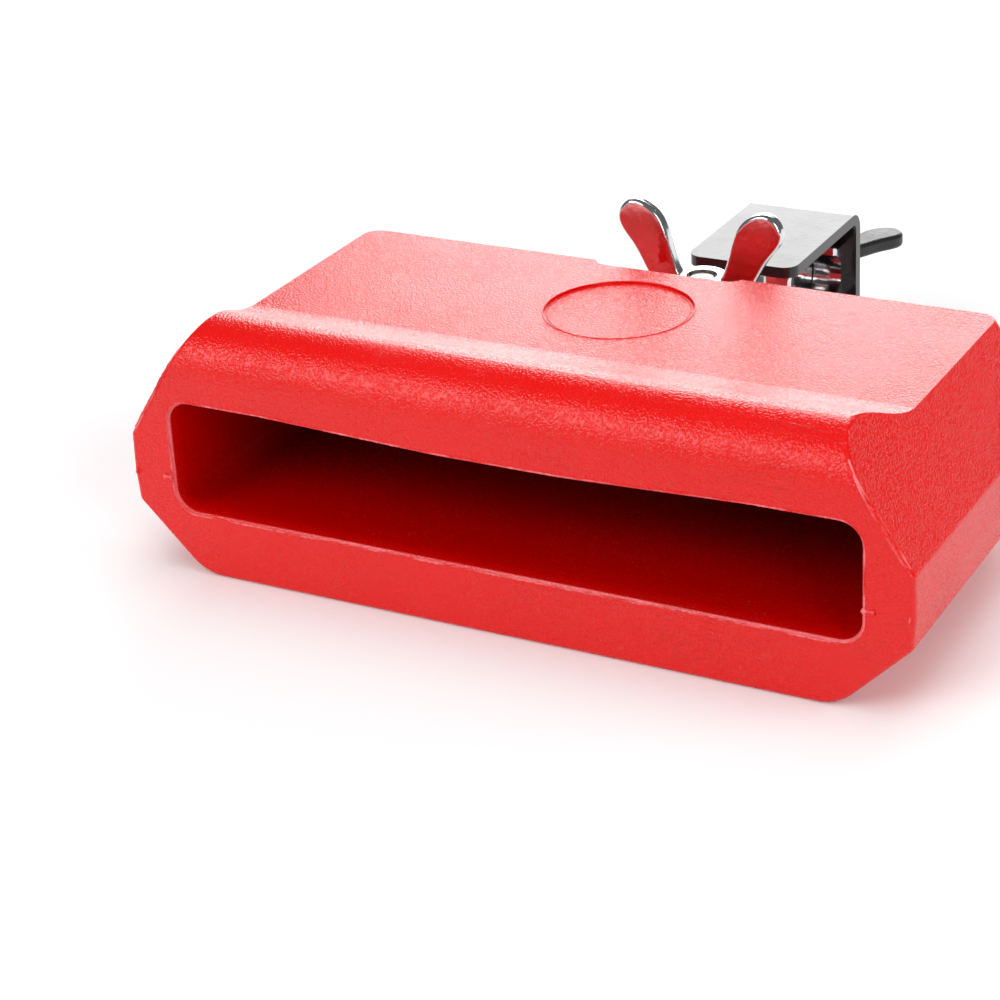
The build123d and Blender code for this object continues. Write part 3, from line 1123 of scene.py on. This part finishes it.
class BLOCK_OT_crease_lines(Operator):
    """Lay two fine ridges along each crease between the mouth face and the upper side flat, in a pale colour
    that paints the crease's highlight lines
    """

    bl_idname = "block.crease_lines"
    bl_label = "Crease lines"

    def execute(self, context):
        settings = context.scene.block_settings
        top_x, top_z = settings.crease_top
        foot_x, foot_z = settings.crease_foot
        roll, steps = settings.lip_roll, 44
        face_top = BLOCK_HI.z - roll
        joined, close, apart = 0.00035, 0.00007, 0.0008
        parts = []
        for hand in (-1, 1):
            for start, inset, behind in ((0.0585, close, apart), (0.0560, apart, close)):
                points = []
                for step in range(steps + 1):
                    z = start + (settings.crease_end - start) * step / steps
                    spread = min(1.0, 2.5 * step / steps)
                    flat_x = foot_x + (top_x - foot_x) * (z - foot_z) / (top_z - foot_z)
                    rise = max(0.0, z - face_top)
                    face_y = FRONT_Y + roll - math.sqrt(roll * roll - rise * rise)
                    away = joined + (inset - joined) * spread
                    deep = joined + (behind - joined) * spread
                    points.append((hand * (flat_x - away), face_y + deep, z))
                wire = extruded_wire(points)
                seed = 11 + len(parts)
                parts.append(bead_from_edges(wire, thickness=settings.crease_width, spread=0.3, seed=seed))
        pick(parts[0])
        for part in parts[1:]:
            part.select_set(True)
        bpy.ops.object.join()
        piece = context.object
        piece.name = "crease_lines"
        # Painted highlight: the pale flash colour on these ridges stands in for the highlight lines along the
        # crease.
        finish_piece(piece, bpy.data.materials["pale flash"], "block")
        return {"FINISHED"}


class BLOCK_OT_recess_rim(Operator):
    """Raise the fine rolled rim and the inner line of the round recess in the panel"""

    bl_idname = "block.recess_rim"
    bl_label = "Recess rim"

    def execute(self, context):
        settings = context.scene.block_settings
        radius, panel_z = settings.recess_radius, settings.panel_z
        rim = (radius + 0.0002, panel_z, 0.00018)
        inner_line = (radius - 0.0009, panel_z - settings.recess_depth, 0.00014)
        rings = []
        for ring_radius, height, thickness in (rim, inner_line):
            deselect()
            bpy.ops.mesh.primitive_circle_add(
                vertices=160, radius=ring_radius, location=(0, settings.recess_y, height)
            )
            bpy.ops.object.transform_apply(location=True, rotation=True, scale=True)
            rings.append(bead_from_edges(context.object, thickness=thickness, spread=0.12, seed=7))
        pick(rings[0])
        rings[1].select_set(True)
        bpy.ops.object.join()
        piece = context.object
        piece.name = "recess_rim"
        finish_piece(piece, bpy.data.materials["red moulded plastic"], "block")
        return {"FINISHED"}


class BLOCK_OT_bolts(Operator):
    """Give the swivel bolt and the eye bolt's shank modelled threads"""

    bl_idname = "block.bolts"
    bl_label = "Bolts"

    def execute(self, context):
        settings = context.scene.hardware_settings
        steps = settings.thread_steps
        overlap, above_pad_foot, inside_back = 0.001, 0.0002, 0.002
        neck_z = PAD_FOOT + above_pad_foot
        bolt = cut_copy("carriage_bolt", "carriage_bolt_threaded", (0, SWIVEL_Y, neck_z), (0, 0, 1))
        place = Vector((0, SWIVEL_Y, neck_z - overlap))
        radii = (settings.swivel_root, settings.swivel_crest)
        rod = threaded_rod(
            "stud", place, Euler((0, 0, 0)), radii, settings.swivel_pitch, BOLT_TOP - place.z, steps
        )
        pick(bolt)
        rod.select_set(True)
        bpy.ops.object.join()
        finish_piece(bolt, bpy.data.materials["zinc plate"], "bracket", angle=35.0)
        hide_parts("carriage_bolt")

        plain_end = BRACKET_BACK - inside_back
        eye = cut_copy("eye_bolt", "eye_bolt_threaded", (0, plain_end, CLAMP_Z), (0, 1, 0))
        place = Vector((0, plain_end - overlap, CLAMP_Z))
        radii = (settings.clamp_root, settings.clamp_crest)
        backward = Euler((-math.pi / 2, 0, 0))
        rod = threaded_rod("shank", place, backward, radii, settings.clamp_pitch, EYE_HI.y - place.y, steps)
        pick(eye)
        rod.select_set(True)
        bpy.ops.object.join()
        finish_piece(eye, bpy.data.materials["cast chrome"], "rod_eye_bolt", angle=35.0)
        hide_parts("eye_bolt")
        return {"FINISHED"}


class BLOCK_OT_stage(Operator):
    """Set up the floor, the lights and the camera"""

    bl_idname = "block.stage"
    bl_label = "Stage"

    def execute(self, context):
        settings = context.scene.stage_settings
        context.scene.view_settings.view_transform = "Standard"
        lay_floor(settings)
        light_room(settings)
        for name, toward, distance, size, power, glossy in SOFTBOXES:
            hang_softbox(name, toward, distance, size, getattr(settings, power), glossy)
        context.scene.camera = stand_camera(settings)
        return {"FINISHED"}


class BLOCK_PT_panel(Panel):
    """Sizes, colours and build buttons of the percussion block"""

    bl_label = "Percussion block"
    bl_idname = "BLOCK_PT_panel"
    bl_space_type = "VIEW_3D"
    bl_region_type = "UI"
    bl_category = "Block"

    def draw(self, context):
        layout = self.layout
        for settings in (
            context.scene.block_settings, context.scene.hardware_settings, context.scene.stage_settings
        ):
            box = layout.box()
            for name in settings.__annotations__:
                box.prop(settings, name)
        for operator in OPERATORS:
            layout.operator(operator.bl_idname)


OPERATORS = (
    BLOCK_OT_finishes,
    BLOCK_OT_mouth_flash,
    BLOCK_OT_parting_flash,
    BLOCK_OT_crease_lines,
    BLOCK_OT_recess_rim,
    BLOCK_OT_bolts,
    BLOCK_OT_stage,
)
CLASSES = (BlockSettings, HardwareSettings, StageSettings, *OPERATORS, BLOCK_PT_panel)


def register():
    """Registers the classes and hangs the settings on the scene."""
    for cls in CLASSES:
        bpy.utils.register_class(cls)
    bpy.types.Scene.block_settings = PointerProperty(type=BlockSettings)
    bpy.types.Scene.hardware_settings = PointerProperty(type=HardwareSettings)
    bpy.types.Scene.stage_settings = PointerProperty(type=StageSettings)


def unregister():
    """Takes the settings off the scene and unregisters the classes."""
    del bpy.types.Scene.stage_settings
    del bpy.types.Scene.hardware_settings
    del bpy.types.Scene.block_settings
    for cls in reversed(CLASSES):
        bpy.utils.unregister_class(cls)


def main():
    """Builds everything in order."""
    register()
    bpy.ops.block.finishes()
    bpy.ops.block.mouth_flash()
    bpy.ops.block.parting_flash()
    bpy.ops.block.crease_lines()
    bpy.ops.block.recess_rim()
    bpy.ops.block.bolts()
    bpy.ops.block.stage()


if __name__ == "__main__":
    main()
